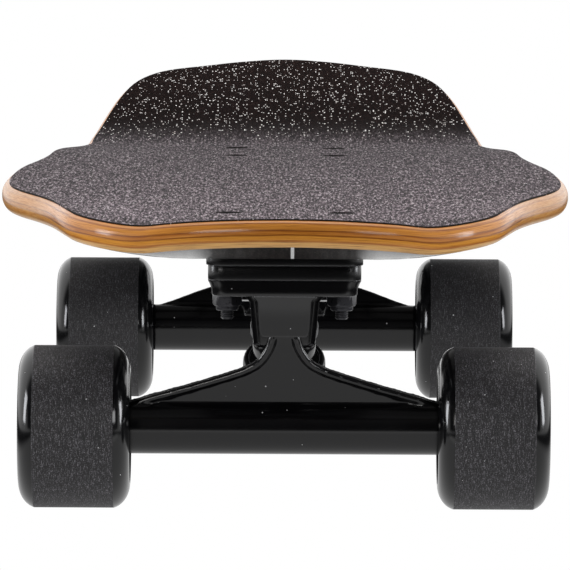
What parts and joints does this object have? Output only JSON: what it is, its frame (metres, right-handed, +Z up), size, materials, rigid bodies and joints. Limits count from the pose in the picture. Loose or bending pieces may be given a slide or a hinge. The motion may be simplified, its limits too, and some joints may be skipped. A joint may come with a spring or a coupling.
{
  "type": "electric skateboard",
  "caption": "Electric cruiser skateboard: dished kicktail deck with grip sheet, sprung turning trucks, urethane wheels, hub motors and a slim drive case underneath.",
  "frame": {"origin": "on the ground, below the middle of the overall length, on the board centreline", "axes": "+X to the right seen from the nose looking towards the tail, +Y from the nose to the tail, +Z up"},
  "size_m": [0.2138, 0.7024, 0.1363],
  "materials": {
    "lacquered_wood": "gloss lacquer over laminated maple and bamboo",
    "grip": "gritty black sheet with pale flecks",
    "riser_rubber": "moulded black",
    "truck_black": "satin black powder coat",
    "cup_plastic": "moulded",
    "bolt_steel": "zinc plated",
    "black_steel": "black oxide",
    "bushing": "cast urethane",
    "case_plastic": "fine grain",
    "foam": "closed cell foam",
    "cell_foil": "foil pouch",
    "nickel": "nickel strip",
    "circuit_board": "solder mask",
    "socket_plastic": "moulded",
    "dark_alloy": "anodised",
    "cable_jacket": "smooth jacket",
    "button_alloy": "spun face",
    "flap_rubber": "moulded",
    "axle_steel": "zinc plated",
    "bearing_steel": "ground",
    "ball_steel": "polished",
    "stator_steel": "laminated",
    "copper": "enamelled copper wire",
    "urethane": "ground black urethane, glossy lips",
    "core_plastic": "moulded",
    "rotor_alloy": "black anodised",
    "magnet": "nickel plated"
  },
  "bodies": {
    "board": {"deck": "lacquered_wood", "grip_sheet": "grip", "riser_pads": "riser_rubber", "front_baseplate": "truck_black", "rear_baseplate": "truck_black", "pivot_cups": "cup_plastic", "kingpins": "bolt_steel", "kingpin_nuts": "black_steel", "front_upper_bushing": "bushing", "front_lower_bushing": "bushing", "rear_upper_bushing": "bushing", "rear_lower_bushing": "bushing", "bushing_washers": "black_steel", "deck_bolts": "black_steel", "deck_nuts": "black_steel", "drive_case": "case_plastic", "case_gasket": "foam", "case_screws": "bolt_steel", "battery_cells": "cell_foil", "cell_strips": "nickel", "motor_controller": "circuit_board", "charge_socket": "socket_plastic", "button_bezel": "dark_alloy", "motor_cables": "cable_jacket"},
    "power_button": {"power_button": "button_alloy"},
    "charge_cap": {"charge_cap": "flap_rubber"},
    "front_truck": {"front_hanger": "truck_black", "front_axle": "axle_steel", "front_axle_nuts": "axle_steel", "front_speed_rings": "axle_steel", "front_bearing_inners": "bearing_steel", "front_bearing_spacers": "axle_steel"},
    "rear_truck": {"rear_hanger": "truck_black", "rear_axle": "axle_steel", "rear_axle_nuts": "axle_steel", "rear_speed_rings": "axle_steel", "rear_bearing_inners": "bearing_steel", "motor_stators": "stator_steel", "motor_windings": "copper"},
    "front_left_wheel": {"front_left_tyre": "urethane", "front_left_core": "core_plastic", "front_left_bearing_outers": "bearing_steel"},
    "rear_left_wheel": {"rear_left_tyre": "urethane", "rear_left_rotor": "rotor_alloy", "rear_left_magnets": "magnet", "rear_left_motor_cover": "rotor_alloy", "rear_left_bearing_outers": "bearing_steel"},
    "front_left_balls": {"front_left_bearing_balls": "ball_steel"},
    "rear_left_balls": {"rear_left_bearing_balls": "ball_steel"},
    "front_right_wheel": {"front_right_tyre": "urethane", "front_right_core": "core_plastic", "front_right_bearing_outers": "bearing_steel"},
    "rear_right_wheel": {"rear_right_tyre": "urethane", "rear_right_rotor": "rotor_alloy", "rear_right_magnets": "magnet", "rear_right_motor_cover": "rotor_alloy", "rear_right_bearing_outers": "bearing_steel"},
    "front_right_balls": {"front_right_bearing_balls": "ball_steel"},
    "rear_right_balls": {"rear_right_bearing_balls": "ball_steel"}
  },
  "joints": [
    {"name": "front_steer", "type": "hinge", "parent": "board", "child": "front_truck", "pos_m": [0, -0.22825, 0.0495], "axis": [0, -0.8548, 0.519], "range_deg": [-20, 20], "deforming": ["front_upper_bushing", "front_lower_bushing"]},
    {"name": "rear_steer", "type": "hinge", "parent": "board", "child": "rear_truck", "pos_m": [0, 0.16175, 0.0495], "axis": [0, 0.8548, 0.519], "range_deg": [-20, 20], "deforming": ["rear_upper_bushing", "rear_lower_bushing", "motor_cables"]},
    {"name": "front_left_wheel_spin", "type": "hinge", "parent": "front_truck", "child": "front_left_wheel", "pos_m": [-0.0765, -0.25025, 0.0295], "axis": [1, 0, 0], "continuous": true},
    {"name": "front_left_balls_spin", "type": "hinge", "parent": "front_truck", "child": "front_left_balls", "pos_m": [-0.0765, -0.25025, 0.0295], "axis": [1, 0, 0], "continuous": true},
    {"name": "front_right_wheel_spin", "type": "hinge", "parent": "front_truck", "child": "front_right_wheel", "pos_m": [0.0765, -0.25025, 0.0295], "axis": [1, 0, 0], "continuous": true},
    {"name": "front_right_balls_spin", "type": "hinge", "parent": "front_truck", "child": "front_right_balls", "pos_m": [0.0765, -0.25025, 0.0295], "axis": [1, 0, 0], "continuous": true},
    {"name": "rear_left_wheel_spin", "type": "hinge", "parent": "rear_truck", "child": "rear_left_wheel", "pos_m": [-0.0765, 0.18375, 0.0295], "axis": [1, 0, 0], "continuous": true},
    {"name": "rear_left_balls_spin", "type": "hinge", "parent": "rear_truck", "child": "rear_left_balls", "pos_m": [-0.0765, 0.18375, 0.0295], "axis": [1, 0, 0], "continuous": true},
    {"name": "rear_right_wheel_spin", "type": "hinge", "parent": "rear_truck", "child": "rear_right_wheel", "pos_m": [0.0765, 0.18375, 0.0295], "axis": [1, 0, 0], "continuous": true},
    {"name": "rear_right_balls_spin", "type": "hinge", "parent": "rear_truck", "child": "rear_right_balls", "pos_m": [0.0765, 0.18375, 0.0295], "axis": [1, 0, 0], "continuous": true},
    {"name": "power_button_press", "type": "slide", "parent": "board", "child": "power_button", "axis": [1, 0, 0], "range_m": [0, 0.0009]},
    {"name": "charge_cap_hinge", "type": "hinge", "parent": "board", "child": "charge_cap", "pos_m": [0.0698, -0.05825, 0.0866], "axis": [0, 0, -1], "range_deg": [0, 110]}
  ],
  "couplings": [
    {"joint": "front_left_balls_spin", "follows": "front_left_wheel_spin", "ratio": 0.632},
    {"joint": "front_right_balls_spin", "follows": "front_right_wheel_spin", "ratio": 0.632},
    {"joint": "rear_left_balls_spin", "follows": "rear_left_wheel_spin", "ratio": 0.632},
    {"joint": "rear_right_balls_spin", "follows": "rear_right_wheel_spin", "ratio": 0.632}
  ]
}
